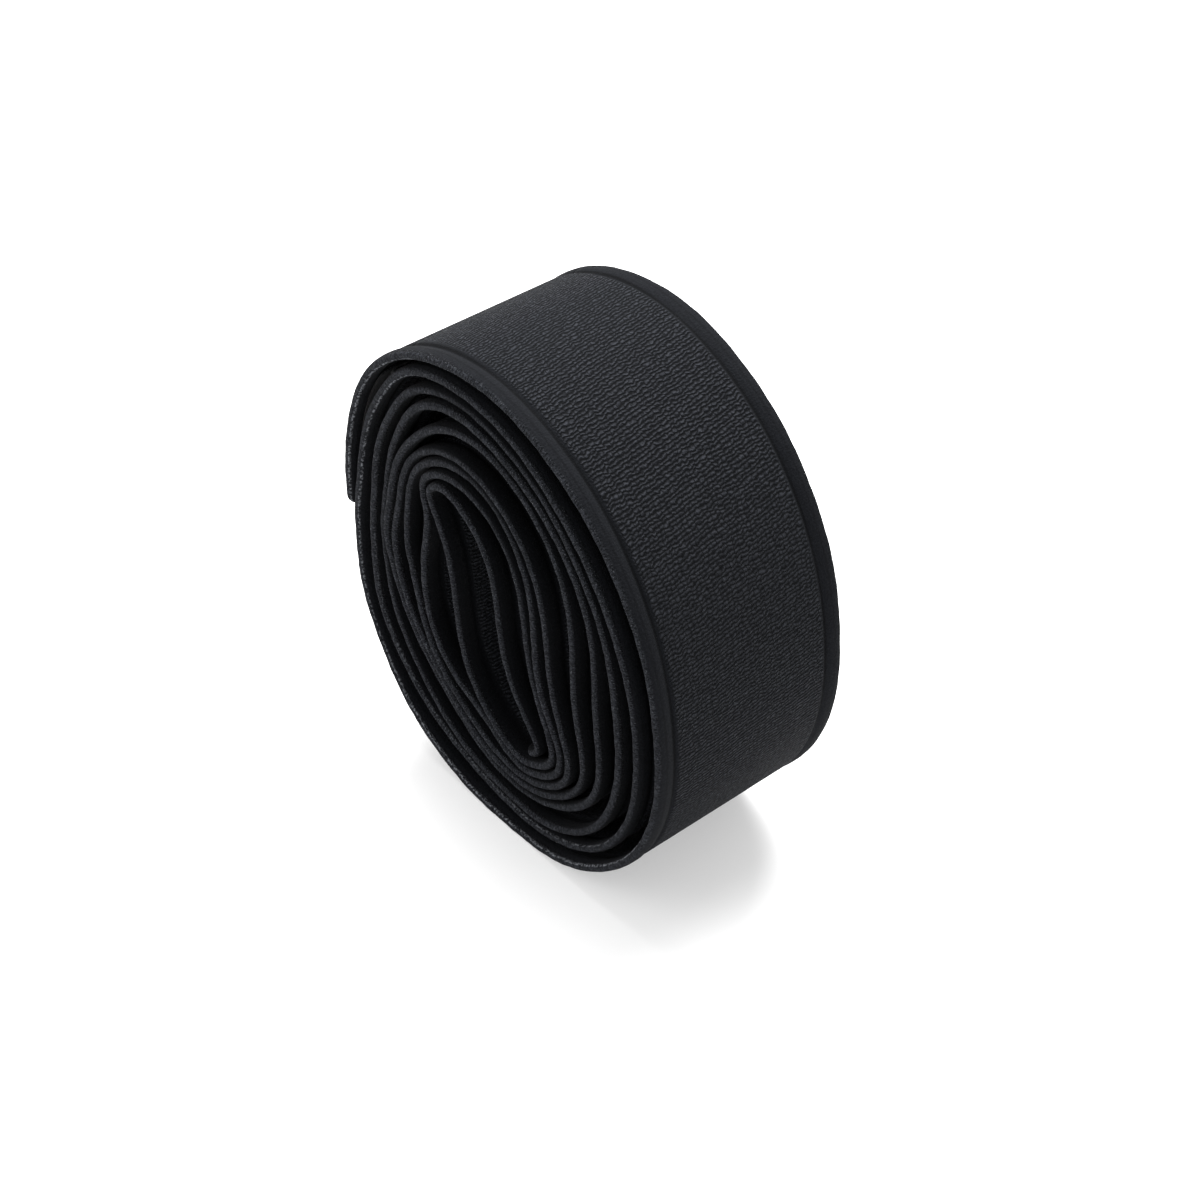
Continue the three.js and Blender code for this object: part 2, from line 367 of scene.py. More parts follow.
    def stations_between(self, low: float, high: float, straight: float, bend: float) -> Array:
        """Places along the strap, closer together where it bends.

        Args:
            low: First place.
            high: Last place.
            straight: Widest step on a straight run.
            bend: Most that the strap may turn in a step, in radians.

        Returns:
            Places along the strap, in millimetres.
        """
        heading = np.unwrap(np.arctan2(self.normal[:, 1], self.normal[:, 0]))
        effort = self.length / straight + np.concatenate([[0.0], np.cumsum(np.abs(np.diff(heading)))]) / bend
        ends = np.interp([low, high], self.length, effort)
        return np.interp(np.linspace(*ends, math.ceil(ends[1] - ends[0]) + 1), effort, self.length)


class Signal:
    """A value inside a material. Arithmetic on it adds Math nodes."""

    def __init__(self, graph: "Graph", socket: bpy.types.NodeSocket) -> None:
        """Wraps an output socket of a node of this graph."""
        self.graph = graph
        self.socket = socket

    def _math(self, operation: str, *values: "Signal | float") -> "Signal":
        """Adds one Math node on the given values."""
        settings = {"operation": operation}
        return self.graph.node("ShaderNodeMath", settings, dict(enumerate(values)))

    def __add__(self, other: "Signal | float") -> "Signal":
        """Sum."""
        return self._math("ADD", self, other)

    __radd__ = __add__

    def __mul__(self, other: "Signal | float") -> "Signal":
        """Product."""
        return self._math("MULTIPLY", self, other)

    __rmul__ = __mul__

    def __sub__(self, other: "Signal | float") -> "Signal":
        """Difference."""
        return self._math("SUBTRACT", self, other)

    def __rsub__(self, other: float) -> "Signal":
        """Difference from a number."""
        return self._math("SUBTRACT", other, self)

    def __truediv__(self, other: float) -> "Signal":
        """Quotient."""
        return self._math("DIVIDE", self, other)

    def __pow__(self, power: float) -> "Signal":
        """Power."""
        return self._math("POWER", self, power)

    def __abs__(self) -> "Signal":
        """Absolute value."""
        return self._math("ABSOLUTE", self)

    def floor(self) -> "Signal":
        """Whole part."""
        return self._math("FLOOR", self)

    def fraction(self) -> "Signal":
        """Part after the whole."""
        return self._math("FRACT", self)

    def wave(self, length: float = 1.0) -> "Signal":
        """Sine wave of that length, from 0 to 1."""
        return self._math("SINE", self * (2 * math.pi / length)) * 0.5 + 0.5

    def ease(self, low: float, high: float) -> "Signal":
        """Smooth step from 0 at low to 1 at high, or down again where high is under low.

        Args:
            low: Where the step gives 0.
            high: Where it gives 1.

        Returns:
            The step.
        """
        sockets = {"Value": self, "From Min": min(low, high), "From Max": max(low, high)}
        sockets |= {"To Min": float(low > high), "To Max": float(low <= high)}
        return self.graph.node("ShaderNodeMapRange", {"interpolation_type": "SMOOTHSTEP"}, sockets)


class Graph:
    """The node tree of one material, with its Principled shader."""

    def __init__(self, name: str) -> None:
        """Makes an empty material.

        Args:
            name: Its name.
        """
        self.material = bpy.data.materials.new(name)
        self.material.use_nodes = True
        self.tree = self.material.node_tree
        self.shader = self.tree.nodes["Principled BSDF"]

    def node(self, kind: str, settings: dict, sockets: dict, output: str | int = 0) -> Signal:
        """Adds a node.

        Args:
            kind: The node's type.
            settings: Its own settings, set before its sockets.
            sockets: Values or signals by the input's name or place.
            output: The output that the result wraps.

        Returns:
            The wrapped output.
        """
        made = self.tree.nodes.new(kind)
        for key, value in settings.items():
            setattr(made, key, value)
        for key, value in sockets.items():
            self.feed(made.inputs[key], value)
        return Signal(self, made.outputs[output])

    def feed(self, socket: bpy.types.NodeSocket, value: object) -> None:
        """Links a signal to a socket, or sets the socket's own value.

        Args:
            socket: The input.
            value: The signal, or the value.
        """
        if isinstance(value, Signal):
            self.tree.links.new(value.socket, socket)
        else:
            socket.default_value = value

    def attribute(self, name: str) -> Signal:
        """A number stored on the mesh's points."""
        return self.node("ShaderNodeAttribute", {"attribute_name": name}, {}, "Fac")

    def vector(self, x: Signal | float, y: Signal | float, z: Signal | float = 0.0) -> Signal:
        """A vector of three values."""
        return self.node("ShaderNodeCombineXYZ", {}, {0: x, 1: y, 2: z})

    def noise(self, at: Signal, scale: float, detail: float = 1.0) -> Signal:
        """Cloudy noise round 0.5, scale cells to a unit."""
        sockets = {"Vector": at, "Scale": scale, "Detail": detail}
        return self.node("ShaderNodeTexNoise", {}, sockets, "Fac")

    def random(self, number: Signal) -> Signal:
        """A number from 0 to 1 for each whole number."""
        return self.node("ShaderNodeTexWhiteNoise", {"noise_dimensions": "1D"}, {"W": number}, "Value")

    def blend(self, share: Signal, low: tuple | Signal, high: tuple | Signal) -> Signal:
        """Colour from low to high by a share, which is kept between 0 and 1.

        Args:
            share: The share of the high colour.
            low: Colour where the share is 0.
            high: Colour where it is 1.

        Returns:
            The blended colour.
        """
        settings = {"data_type": "RGBA"}
        sockets = {"Factor": share, 6: low if isinstance(low, Signal) else (*low, 1.0),
                   7: high if isinstance(high, Signal) else (*high, 1.0)}
        return self.node("ShaderNodeMix", settings, sockets, 2)

    def finish(self, colour: Signal, roughness: Signal | float, height: Signal, depth: float,
               sheen: float = 0.0) -> bpy.types.Material:
        """Feeds the shader.

        Args:
            colour: Base colour.
            roughness: Roughness.
            height: Height of the surface's relief, about 0 to 1.
            depth: Millimetres that a height of 1 stands for.
            sheen: Strength of the fibres' sheen.

        Returns:
            The finished material.
        """
        bump = self.node("ShaderNodeBump", {}, {"Distance": depth * MM, "Height": height}, "Normal")
        self.feed(self.shader.inputs["Base Color"], colour)
        self.feed(self.shader.inputs["Roughness"], roughness)
        self.feed(self.shader.inputs["Normal"], bump)
        self.shader.inputs["Sheen Weight"].default_value = sheen
        self.shader.inputs["Sheen Roughness"].default_value = 0.45
        self.shader.inputs["Specular IOR Level"].default_value = 0.08
        return self.material


@dataclass(frozen=True)
class CrepeCloth:
    """Crepe-woven elastic: short slanted ridges in columns, between grooved selvedges.

    Lengths are in millimetres. The pit and the ridge are the darkest and the lightest cloth, and
    the pit colour also stands for painted shade in the selvedge groove and between the inner turns.
    The bright colour is a painted highlight: specks on the fluffy rims and a line along an edge
    corner of the outermost turns.
    """

    ridge: tuple[float, float, float] = (0.0212, 0.0229, 0.0276)
    pit: tuple[float, float, float] = (0.0014, 0.0016, 0.0021)
    selvedge: tuple[float, float, float] = (0.0102, 0.0111, 0.0136)
    # colour of the painted highlight: bright specks on the rims and a line along the outer turns' edge corner
    painted_glint: tuple[float, float, float] = (0.210, 0.220, 0.240)
    ridge_pitch: float = 0.88
    ridge_slant: float = 0.14
    column_width: float = 1.3
    texture_half: float = 19.7
    groove_at: float = 20.6
    seam_at: float = 22.9
    rim_at: float = 24.0
    outer_from: float = 1350.0
    outer_ease: float = 300.0
    tick_pitch: float = 0.62
    relief: float = 0.46

    def material(self) -> bpy.types.Material:
        """Builds the cloth.

        A ridge is a sine of the place along, which slants with the place across, starts at a
        random phase in each column and is shifted by cloudy noise. Outside the ridges lie a
        groove, a seam line and a rib that ends in a fluffy rim. The groove and the selvedge faces
        of the inner turns are darkened with painted shade, and a painted highlight lies as bright
        specks on the rims and as a line along an edge corner of the outer turns.

        Returns:
            The cloth's material.
        """
        g = Graph("crepe_elastic_cloth")
        along, across, proud = (g.attribute(name) for name in ("along", "across", "proud"))
        cloud = g.noise(g.vector(along * 0.30, across * 0.22, proud), 1.0, 3.0) - 0.5
        column = across / self.column_width + cloud * 3.0
        inside = column.fraction()
        phase = g.random(column.floor())
        grain = g.noise(g.vector(along * 0.7, across * 0.7, proud), 1.0, 2.0) - 0.5
        ridge = (along / self.ridge_pitch - across * self.ridge_slant + phase * 0.35 + grain * 1.55).wave()
        crown = 1 - (abs(inside * 2 - 1)) ** 3.0
        knot = g.noise(g.vector(along * 0.95, across * 0.8, proud), 1.0, 1.0).ease(0.34, 0.60)
        crepe = ridge * (crown * 0.65 + 0.35) * (knot * 0.5 + 0.5)
        fibre = g.noise(g.vector(along * 2.2, across * 5.5, proud * 5.0), 1.0, 3.0)
        width = abs(across)
        weave = width.ease(self.texture_half + 0.4, self.texture_half - 0.3)
        # painted shade: the hollow of the selvedge groove is drawn dark
        groove_shade = abs(width - self.groove_at).ease(0.62, 0.15)
        rim = width.ease(self.rim_at, self.rim_at + 0.7)
        outer = along.ease(self.outer_from, self.outer_from + self.outer_ease)
        # fluffy relief of the rim, and also the mask of the painted highlight line along the outer turns'
        # edge corner
        lint_and_glint = g.noise(g.vector(along * 1.5, across * 2.2, proud * 1.2), 1.0, 2.0).ease(0.40, 0.66)
        tick = (along / self.tick_pitch + grain * 2.4).wave() * 0.35 + lint_and_glint * 0.65
        height = weave * crepe + (1 - weave) * tick * (rim * 0.8 + 0.12) + fibre * 0.14
        # painted highlight: a bright line along one corner of the strap's edge
        corner = width.ease(23.9, 24.4) * abs(proud + 0.72).ease(0.24, 0.06)
        # painted highlight: bright specks, mostly on the fluffy rims
        glint_specks = g.noise(g.vector(along * 3.4, across * 3.4, proud * 3.4), 1.0, 2.0).ease(0.60, 0.72)
        seam = abs(width - self.seam_at).ease(0.40, 0.10)
        lit = g.blend(tick * 0.25 + fibre * 0.55 + 0.1, self.pit, self.selvedge)
        # painted shade: on the inner turns the selvedge faces, which lie between the turns, are drawn mostly
        # in the pit colour
        inner = g.blend(outer * 0.75 + 0.25, self.pit, lit)
        fluff = g.blend(tick * 1.1 + fibre * 0.3, self.pit, self.ridge)
        plain = g.blend(rim * abs(proud).ease(0.95, 0.70), inner, fluff)
        cloth = g.blend(crepe * 1.15 + fibre * 0.2 - 0.1, self.pit, self.ridge)
        colour = g.blend(weave, plain, cloth)
        # painted shade: the groove is darkened towards the pit colour, and the seam line is darkened a little
        colour = g.blend(groove_shade * 0.93 + seam * 0.35, colour, self.pit)
        # painted highlight along the edge corner of the outer turns
        colour = g.blend(corner * outer * lint_and_glint * 0.75, colour, self.painted_glint)
        # painted highlight specks on the rims
        colour = g.blend(glint_specks * (rim * 0.22 + 0.02), colour, self.painted_glint)
        return g.finish(colour, 0.94 - crepe * weave * 0.10, height, self.relief)


@dataclass(frozen=True)
class TapeCloth:
    """Plain-woven narrow tape: crossed warp and weft threads."""

    thread: tuple[float, float, float] = (0.024, 0.0245, 0.027)
    pit: tuple[float, float, float] = (0.005, 0.005, 0.0055)
    pitch: float = 0.62
    relief: float = 0.16

    def material(self) -> bpy.types.Material:
        """Builds the tape: in every other square the warp lies over the weft, a sine each.

        Returns:
            The tape's material.
        """
        g = Graph("woven_tape")
        along, across = g.attribute("along"), g.attribute("across")
        warp = (across / self.pitch).wave()
        weft = (along / self.pitch).wave()
        turn = ((across / self.pitch).floor() + (along / self.pitch).floor()) / 2
        over = turn.fraction() * 2
        weave = over * warp + (1 - over) * weft
        fibre = g.noise(g.vector(along * 2.0, across * 6.0), 1.0, 3.0)
        colour = g.blend((weave * 0.8 + fibre * 0.3).ease(0.1, 0.9), self.pit, self.thread)
        return g.finish(colour, 0.9, weave + fibre * 0.3, self.relief, 0.1)


@dataclass(frozen=True)
class Fibre:
    """Spun or drawn fibre of small parts: stitches, pile and hooks."""

    name: str
    light: tuple[float, float, float]
    dark: tuple[float, float, float]
    roughness: float
    twist: float = 0.35
    relief: float = 0.06
    sheen: float = 0.1

    def material(self) -> bpy.types.Material:
        """Builds the fibre: slanting twist lines and cloudy variation over object coordinates.

        Returns:
            The fibre's material.
        """
        g = Graph(self.name)
        at = g.node("ShaderNodeTexCoord", {}, {}, "Object")
        split = g.node("ShaderNodeSeparateXYZ", {}, {"Vector": at}, 0)
        parts = [Signal(g, split.socket.node.outputs[k]) for k in range(3)]
        slope = (parts[0] * 0.6 + parts[1] * 0.55 + parts[2] * 0.58) / MM
        twist = slope.wave(self.twist)
        cloud = g.noise(at, 900.0, 2.0)
        colour = g.blend((twist * 0.5 + cloud * 0.6).ease(0.2, 0.9), self.dark, self.light)
        roughness = cloud * 0.2 + (self.roughness - 0.1)
        return g.finish(colour, roughness, twist * 0.6 + cloud * 0.4, self.relief, self.sheen)


@dataclass(frozen=True)
class Backing:
    """Woven backing of a fastener patch: a close, plain weave."""

    name: str
    light: tuple[float, float, float]
    dark: tuple[float, float, float]
    pitch: float = 0.5

    def material(self) -> bpy.types.Material:
        """Builds the backing: the product of two sines along and across.

        Returns:
            The backing's material.
        """
        g = Graph(self.name)
        along, across = g.attribute("along"), g.attribute("across")
        weave = (along / self.pitch).wave() * (across / self.pitch).wave()
        fibre = g.noise(g.vector(along * 3.0, across * 3.0), 1.0, 3.0)
        colour = g.blend((weave + fibre * 0.4).ease(0.1, 1.1), self.dark, self.light)
        return g.finish(colour, 0.85, weave + fibre * 0.4, 0.12, 0.05)


def store(name: str, points: Array, faces: list[Array], material: bpy.types.Material,
          values: dict[str, Array] | None = None, flat_from: int | None = None) -> bpy.types.Object:
    """Makes an object of a closed surface, with its faces turned outwards.

    The signed volume is a sixth of the sum of each triangle's triple product; where it is
    negative, every face is turned round.

    Args:
        name: The piece's name.
        points: Its points in millimetres.
        faces: Arrays of faces, each with one number of corners.
        material: Its finish.
        values: Numbers for each point, stored as attributes.
        flat_from: First face that is shaded flat, or None where all are smooth.

    Returns:
        The object, at the origin.
    """
    points = points.reshape(-1, 3)
    volume = 0.0
    for group in faces:
        corners = points[group]
        for k in range(1, group.shape[1] - 1):
            spin = np.cross(corners[:, k], corners[:, k + 1])
            volume += float((corners[:, 0] * spin).sum())
    if volume < 0:
        faces = [group[:, ::-1] for group in faces]
    mesh = bpy.data.meshes.new(name)
    mesh.from_pydata((points * MM).tolist(), [], [face for group in faces for face in group.tolist()])
    smooth = np.ones(len(mesh.polygons), dtype=bool)
    if flat_from is not None:
        smooth[flat_from:] = False
    mesh.polygons.foreach_set("use_smooth", smooth)
    for key, column in (values or {}).items():
        column = np.broadcast_to(column, points.shape[:1] if column.ndim < 2 else column.shape)
        attribute = mesh.attributes.new(key, "FLOAT", "POINT")
        attribute.data.foreach_set("value", column.ravel().astype(np.float32))
    mesh.materials.append(material)
    piece = bpy.data.objects.new(name, mesh)
    bpy.context.scene.collection.objects.link(piece)
    return piece


def grid_faces(rows: int, columns: int, closed_rows: bool = False) -> Array:
    """Quads of a grid whose columns close on themselves, and whose rows may too.

    Args:
        rows: Number of rows of points.
        columns: Number of points in a row.
        closed_rows: Whether the last row joins the first.

    Returns:
        Four point numbers a quad.
    """
    row = np.arange(rows if closed_rows else rows - 1)[:, None]
    column = np.arange(columns)[None, :]
    after, beside = (row + 1) % rows, (column + 1) % columns
    here, there = row * columns, after * columns
    corners = [here + column, here + beside, there + beside, there + column]
    return np.stack(np.broadcast_arrays(*corners), axis=-1).reshape(-1, 4)


@dataclass(frozen=True)
class Walk:
    """A straight row of stitches on the strap, from one place to another."""

    low: tuple[float, float]
    high: tuple[float, float]
    proud: float
    pitch: ClassVar[float] = 2.6

    def spots(self) -> Array:
        """Middle of each stitch, evenly spaced along the row.

        Returns:
            Each stitch's place along, across and proud, and the row's direction in radians.
        """
        low, high = np.array(self.low), np.array(self.high)
        run = high - low
        count = max(1, round(float(np.linalg.norm(run)) / self.pitch))
        share = (np.arange(count)[:, None] + 0.5) / count
        rest = np.broadcast_to([self.proud, math.atan2(run[1], run[0])], (count, 2))
        return np.concatenate([low + run * share, rest], axis=1)


@dataclass
class Tailor:
    """Makes cloth and stitches on the wound strap, from strap coordinates."""

    winding: Winding
    thread_radius: float = 0.27
    stitch_gap: float = 0.3
    stitch_dip: float = 0.34

    def ribbon(self, name: str, along: Array, across: Array, proud: Array,
               material: bpy.types.Material) -> bpy.types.Object:
        """A closed band: a section carried along the strap, with its two ends capped.

        Args:
            name: The piece's name.
            along: Places of the sections along the strap, one a row.
            across: Each section's points across the width, rows by points.
            proud: Their heights above the strap's middle, rows by points.
            material: Its finish.

        Returns:
            The band as an object, with its strap coordinates stored on its points.
        """
        along = np.broadcast_to(along[:, None], across.shape)
        points = self.winding.place(along, across, proud)
        rows, columns = across.shape
        sides = grid_faces(rows, columns)
        caps = np.stack([np.arange(columns)[::-1], np.arange(columns) + (rows - 1) * columns])
        values = {"along": along.ravel(), "across": across.ravel(), "proud": proud.ravel()}
        return store(name, points, [sides, caps], material, values, len(sides))

    def scatter(self, name: str, shape: Array, faces: list[Array], spots: Array,
                material: bpy.types.Material) -> bpy.types.Object:
        """Copies a small shape to many spots of the strap.

        Args:
            name: The piece's name.
            shape: The shape's points as along, across and proud, about its own foot.
            faces: Its faces, grouped by their number of corners.
            spots: For each copy its place along, across and proud, and its turn in radians.
            material: Its finish.

        Returns:
            All copies as one object.
        """
        cos, sin = np.cos(spots[:, 3:4]), np.sin(spots[:, 3:4])
        along = spots[:, 0:1] + shape[None, :, 0] * cos - shape[None, :, 1] * sin
        across = spots[:, 1:2] + shape[None, :, 0] * sin + shape[None, :, 1] * cos
        points = self.winding.place(along, across, spots[:, 2:3] + shape[None, :, 2])
        start = len(shape) * np.arange(len(spots))[:, None, None]
        every = [(group[None] + start).reshape(-1, group.shape[1]) for group in faces]
        return store(name, points, every, material)

    def wire(self, path: Array, radius: Array, sides: int) -> tuple[Array, list[Array]]:
        """A small wire along a path in the plane of along and proud.

        Each point of the path carries a ring across it: across = r cos t, and r sin t along the
        path's own normal. The two end rings are capped.

        Args:
            path: The path's points as along and proud.
            radius: The wire's radius at each of them.
            sides: How many sides the wire has.

        Returns:
            The shape's points, and its faces by their number of corners.
        """
        tangent = np.gradient(path, axis=0)
        tangent /= np.linalg.norm(tangent, axis=1)[:, None]
        turn = np.linspace(0, 2 * np.pi, sides, endpoint=False)[None, :]
        out = radius[:, None] * np.sin(turn)
        shape = np.stack([path[:, 0:1] - tangent[:, 1:2] * out, radius[:, None] * np.cos(turn),
                          path[:, 1:2] + tangent[:, 0:1] * out], axis=-1).reshape(-1, 3)
        ring = np.arange(sides)
        caps = np.stack([ring[::-1], ring + (len(path) - 1) * sides])
        return shape, [grid_faces(len(path), sides), caps]

    def stitches(self, name: str, walks: list[Walk], material: bpy.types.Material) -> bpy.types.Object:
        """Rows of single stitches along straight walks on the strap.

        Each stitch is a wire that dips at both ends, with a radius that follows the root of a
        sine along it.

        Args:
            name: The piece's name.
            walks: The rows.
            material: The thread.

        Returns:
            The stitches as one object.
        """
        share = np.linspace(0.04, 0.96, 7)
        length = Walk.pitch - self.stitch_gap
        path = np.stack([(share - 0.5) * length, -self.stitch_dip * (2 * share - 1) ** 4], axis=-1)
        shape, faces = self.wire(path, self.thread_radius * np.sqrt(np.sin(np.pi * share)), sides=6)
        spots = np.concatenate([walk.spots() for walk in walks])
        return self.scatter(name, shape, faces, spots, material)


def box_walks(along: tuple[float, float], half: float, proud: float, crossed: bool = False) -> list[Walk]:
    """Four rows of stitches round a rectangle, and two more from corner to corner if crossed.

    Args:
        along: Where the rectangle starts and ends along the strap.
        half: Half its width across the strap.
        proud: Height of the stitches.
        crossed: Whether its corners are joined.

    Returns:
        The rows.
    """
    a, b = along
    rows = [Walk((a, -half), (b, -half), proud), Walk((b, -half), (b, half), proud),
            Walk((b, half), (a, half), proud), Walk((a, half), (a, -half), proud)]
    if crossed:
        rows += [Walk((a, -half), (b, half), proud), Walk((a, half), (b, -half), proud)]
    return rows


@dataclass
class Strap:
    """The elastic strap: the wound roll, and the tail at its outer end."""

    winding: Winding
    tailor: Tailor
    tail_lead: float = 3.0
    bend_from: float = -2.0
    bend_to: float = 9.5
    straight_step: float = 1.62
    bend_step: float = 0.24
    end_round: float = 0.9
    end_places: tuple[float, ...] = (0.0, 0.12, 0.3, 0.6, 0.9, 1.6, 2.4, 3.0)
    corner: float = 3.0
    edge_ease: tuple[float, float] = (19.0, 23.0)
    profile: tuple[tuple[float, float], ...] = (
        (25.0, 0.87), (12.0, 0.87), (5.7, 0.87), (5.15, 0.82), (4.75, 0.52), (4.35, 0.42), (3.9, 0.62),
        (3.2, 0.93), (2.4, 1.06), (1.6, 1.06), (0.95, 0.97), (0.5, 0.82), (0.22, 0.62), (0.06, 0.38),
        (0.0, 0.14), (0.02, 0.0),
    )

    def _section(self) -> tuple[Array, Array]:
        """The strap's section as a loop: the profile from mid face to mid edge, mirrored twice.

        Returns:
            The loop's places across, and its heights.
        """
        inset, proud = np.array(self.profile).T
        across = self.winding.width / 2 - inset
        half = np.concatenate([across[:-1], across[:0:-1]]), np.concatenate([proud[:-1], -proud[:0:-1]])
        return np.concatenate([half[0], -half[0]]), np.concatenate([half[1], -half[1]])

    def _run(self, name: str, low: float, high: float, cloth: bpy.types.Material) -> bpy.types.Object:
        """A run of strap between two places along it, with soft ends where the strap itself ends.

        The edges wander by sums of sines, and near a cut end the section shrinks as a quarter
        circle does.

        Args:
            name: The run's name.
            low: Where it starts along the strap.
            high: Where it ends.
            cloth: Its finish.

        Returns:
            The run as an object.
        """
        wind = self.winding
        ends = wind.along(wind.start), wind.along(wind.end)
        places = wind.stations_between(low, high, self.straight_step, self.bend_step)
        for end, sign in ((ends[0], 1), (ends[1], -1)):
            extra = end + sign * np.array(self.end_places)
            places = np.concatenate([places, extra[(extra >= low) & (extra <= high)]])
        places = np.unique(np.round(places, 4))
        across, proud = self._section()
        left = np.minimum(places - ends[0], ends[1] - places)[:, None]
        thin = np.sqrt(np.clip(1 - (1 - np.clip(left / self.end_round, 0, 1)) ** 2, 0.06, 1))
        cut = self.corner * (1 - np.sqrt(1 - (1 - np.clip(left / self.corner, 0, 1)) ** 2))
        half = wind.width / 2
        edge = ease(np.abs(across), *self.edge_ease) * np.sign(across)
        wander = drift(places, size=0.04, longest=9.0, waves=3, seed=1.3)[:, None] * edge * (across > 0)
        wander += drift(places, size=0.04, longest=8.1, waves=3, seed=2.6)[:, None] * edge * (across < 0)
        slide = drift(places, size=0.30, longest=190.0, waves=4, seed=0.8)[:, None]
        body = 1 + drift(places, size=0.014, longest=13.0, waves=3, seed=0.4)[:, None]
        y = across[None] * (half - cut) / half + wander + slide
        return self.tailor.ribbon(name, places, y, proud[None] * thin * body, cloth)

    def build(self, cloth: bpy.types.Material) -> tuple[bpy.types.Object, bpy.types.Object]:
        """Makes the roll and its tail, which meet a little before the fold line.

        Args:
            cloth: The strap's finish.

        Returns:
            The roll and the tail.
        """
        wind = self.winding
        meet = wind.along(wind.bend_at - self.tail_lead)
        roll = self._run("wound_strap", wind.along(wind.start), meet, cloth)
        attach(roll, Body.ROLL.value)
        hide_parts(*(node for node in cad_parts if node.startswith("strap_turn")))
        tail = self._run("strap_tail", meet, wind.along(wind.end), cloth)
        start, end = (wind.place(np.float64(wind.along(wind.bend_at + past)), 0.0, 0.0)
                      for past in (self.bend_from, self.bend_to))
        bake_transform(tail)
        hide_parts("closure_tab")
        return roll, tail


@dataclass
class Patch:
    """One fastener patch: its woven backing, and the pile or hooks that stand on it."""

    winding: Winding
    tailor: Tailor
    turn: int
    face: Face
    width: float = 44.0
    low: float = 1.0
    high: float = 1.56
    corner: float = 4.0
    border: float = 3.6
    loop_half: float = 0.34
    loop_rise: float = 0.46
    yarn_radius: float = 0.065
    curl_radius: float = 0.17
    curl_at: float = -0.30

    @property
    def along(self) -> tuple[float, float]:
        """Where the patch starts and ends along the strap.

        Returns:
            The two places, in millimetres.
        """
        wind = self.winding
        lap = 360.0 * self.turn
        return wind.along(wind.patch_from + lap), wind.along(wind.patch_to + lap)

    def backing(self, name: str, finish: bpy.types.Material) -> bpy.types.Object:
        """A thin slab with round corners: half width = W/2 - r + sqrt(r^2 - (r - d)^2) near its ends.

        Args:
            name: The piece's name.
            finish: Its finish.

        Returns:
            The slab as an object.
        """
        low, high = self.along
        places = np.concatenate([low + self.corner * (1 - np.cos(np.linspace(0, np.pi / 2, 7))),
                                 np.linspace(low + self.corner, high - self.corner, 26)[1:-1],
                                 high - self.corner * (1 - np.sin(np.linspace(0, np.pi / 2, 7)))])
        left = np.clip(np.minimum(places - low, high - places), 0, self.corner)
        half = self.width / 2 - self.corner + np.sqrt(self.corner**2 - (self.corner - left) ** 2)
        share = np.concatenate([np.linspace(-1, 1, 9), np.linspace(1, -1, 9)])
        top = np.repeat([1.0, 0.0], 9)
        soft = 1 - 0.35 * (np.abs(share) > 0.99)
        proud = self.low + (self.high - self.low) * (0.5 + (top - 0.5) * soft)
        proud = np.broadcast_to(proud * self.face.value, (len(places), 18))
        return self.tailor.ribbon(name, places, half[:, None] * share[None], proud, finish)

    def spots(self, pitch: tuple[float, float], jitter: float, seed: int, spin: float) -> Array:
        """Spots in staggered rows inside the sewn border, each moved and turned a little at random.

        Args:
            pitch: Distance between spots along and across.
            jitter: Most that a spot moves either way.
            seed: Seed of the random numbers.
            spin: Most that a spot turns either way, in radians.

        Returns:
            Place along, across and proud and turn of each spot.
        """
        low, high = self.along
        rows = np.arange(low + self.border, high - self.border, pitch[0])
        columns = np.arange(-self.width / 2 + self.border, self.width / 2 - self.border, pitch[1])
        along, across = np.meshgrid(rows, columns, indexing="ij")
        across = across + pitch[1] / 2 * (np.arange(len(rows)) % 2)[:, None]
        chance = np.random.default_rng(seed).uniform(-1, 1, (3, along.size))
        proud = np.full(along.size, self.high * self.face.value)
        return np.stack([along.ravel() + jitter * chance[0], across.ravel() + jitter * chance[1],
                         proud, spin * chance[2]], axis=-1)

    def pile(self, name: str, finish: bpy.types.Material) -> bpy.types.Object:
        """Brushed loops: half rounds of fine yarn, standing at all angles.

        Args:
            name: The piece's name.
            finish: Its finish.

        Returns:
            The loops as one object.
        """
        turn = np.linspace(0.0, np.pi, 6)
        path = np.stack([self.loop_half * np.cos(turn), self.loop_rise * np.sin(turn) - 0.05], axis=-1)
        shape, faces = self.tailor.wire(path, np.full(6, self.yarn_radius), sides=3)
        spots = self.spots(pitch=(0.95, 0.95), jitter=0.4, seed=5, spin=3.1)
        return self.tailor.scatter(name, shape, faces, spots, finish)

    def hooks(self, name: str, finish: bpy.types.Material) -> bpy.types.Object:
        """Moulded hooks: a stem, then two thirds of a circle back down.

        Args:
            name: The piece's name.
            finish: Its finish.

        Returns:
            The hooks as one object.
        """
        turn = np.linspace(np.pi, -0.35 * np.pi, 6)
        radius = self.curl_radius
        curl = np.stack([radius + radius * np.cos(turn), self.curl_at - radius * np.sin(turn)], axis=-1)
        path = np.concatenate([[[0.0, 0.06], [0.0, -0.15]], curl])
        shape, faces = self.tailor.wire(path, np.linspace(0.12, 0.06, 8), sides=4)
        spots = self.spots(pitch=(1.25, 1.5), jitter=0.05, seed=9, spin=0.15)
        return self.tailor.scatter(name, shape, faces, spots, finish)


